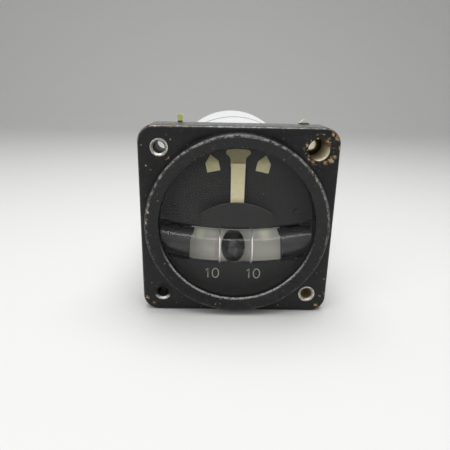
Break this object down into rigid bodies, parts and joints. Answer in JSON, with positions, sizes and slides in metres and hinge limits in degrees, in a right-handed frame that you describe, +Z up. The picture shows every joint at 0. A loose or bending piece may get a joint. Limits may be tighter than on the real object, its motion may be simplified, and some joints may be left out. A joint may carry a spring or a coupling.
{
  "type": "turn and slip indicator",
  "caption": "Square-flanged aircraft turn and slip indicator with a gyro-driven needle, a ball in a curved glass tube and a round aluminium case.",
  "frame": {"origin": "centre of the four panel screw holes, on the flange's front face", "axes": "+X to the right seen from the pilot's side, +Y into the panel towards the connector, +Z up"},
  "size_m": [0.06, 0.114, 0.0624],
  "materials": {
    "black_paint": "satin black paint, chipped at the edges",
    "dial_black": "matte black",
    "cream_paint": "matte cream luminous paint",
    "needle_paint": "matte cream paint on thin sheet",
    "white_enamel": "satin white enamel",
    "black_steel": "gloss black",
    "bare_aluminium": "turned, bright",
    "machined_aluminium": "milled, satin",
    "cadmium_plate": "dull plated",
    "steel": "ground",
    "magnet_steel": "dark, satin",
    "brass": "dull",
    "copper": "enamelled wire",
    "glass": "clear, dusty",
    "tube_glass": "clear",
    "rubber": "matte black",
    "insulator": "moulded, matte",
    "carbon": "carbon"
  },
  "bodies": {
    "instrument": {"flange_housing": "black_paint", "bezel_ring": "black_paint", "panel_inserts": "cadmium_plate", "brass_nut": "brass", "left_clip": "brass", "right_clip": "brass", "glass_gasket": "rubber", "cover_glass": "glass", "spacer_ring": "dial_black", "upper_dial": "dial_black", "lower_dial": "dial_black", "dial_marks": "cream_paint", "dial_posts": "machined_aluminium", "dial_screws": "dial_black", "pointer_shield": "dial_black", "inclinometer_tube": "tube_glass", "tube_end_plugs": "rubber", "white_backing": "white_enamel", "index_wires": "steel", "inclinometer_bracket": "dial_black", "staff_bush": "brass", "chassis_front_plate": "machined_aluminium", "chassis_screws": "steel", "chassis_pillars": "machined_aluminium", "limit_stops": "steel", "chassis_rear_plate": "machined_aluminium", "gimbal_bearings": "steel", "damper_cylinder": "brass", "centring_spring": "steel", "spring_adjuster": "brass", "filter_capacitor": "bare_aluminium", "filter_choke": "copper", "front_case": "bare_aluminium", "rear_case": "bare_aluminium", "case_seal": "rubber", "case_screws": "steel", "connector_shell": "cadmium_plate", "connector_insert": "insulator", "connector_pins": "brass", "connector_screws": "steel", "connector_nuts": "steel"},
    "gimbal": {"gimbal_frame": "machined_aluminium", "drive_arm": "brass", "drive_pin": "steel", "rear_arm": "brass", "spin_bearings": "steel", "field_magnet": "magnet_steel", "magnet_carrier": "machined_aluminium", "brush_holder": "insulator", "brushes": "carbon"},
    "rotor": {"rotor_shaft": "steel", "rotor_flywheel": "brass", "rotor_winding": "copper", "commutator": "copper"},
    "pointer": {"pointer_needle": "needle_paint", "pointer_staff": "steel", "pointer_counterweight": "brass", "pointer_fork": "brass"},
    "damper_piston": {"damper_piston": "machined_aluminium"},
    "slip_ball": {"slip_ball": "black_steel"}
  },
  "joints": [
    {"name": "gimbal_tilt", "type": "hinge", "parent": "instrument", "child": "gimbal", "pos_m": [0, 0.0415, 0], "axis": [0, 1, 0], "range_deg": [-8.4, 8.4], "stiffness_Nm_per_rad": 0.005, "deforming": ["centring_spring"]},
    {"name": "rotor_spin", "type": "hinge", "parent": "gimbal", "child": "rotor", "pos_m": [0, 0.0415, 0], "axis": [1, 0, 0], "continuous": true},
    {"name": "needle_swing", "type": "hinge", "parent": "instrument", "child": "pointer", "pos_m": [0, 0.0135, -0.0193], "axis": [0, 1, 0], "range_deg": [-24, 24]},
    {"name": "piston_slide", "type": "slide", "parent": "instrument", "child": "damper_piston", "axis": [1, 0, 0], "range_m": [-0.0025, 0.0025]},
    {"name": "ball_roll", "type": "hinge", "parent": "instrument", "child": "slip_ball", "pos_m": [0, 0.0063, 0.1056], "axis": [0, 1, 0], "range_deg": [-5.4, 4.6]}
  ],
  "couplings": [
    {"joint": "needle_swing", "follows": "gimbal_tilt", "ratio": -2.857},
    {"joint": "piston_slide", "follows": "gimbal_tilt", "m_per_rad": 0.0165}
  ]
}
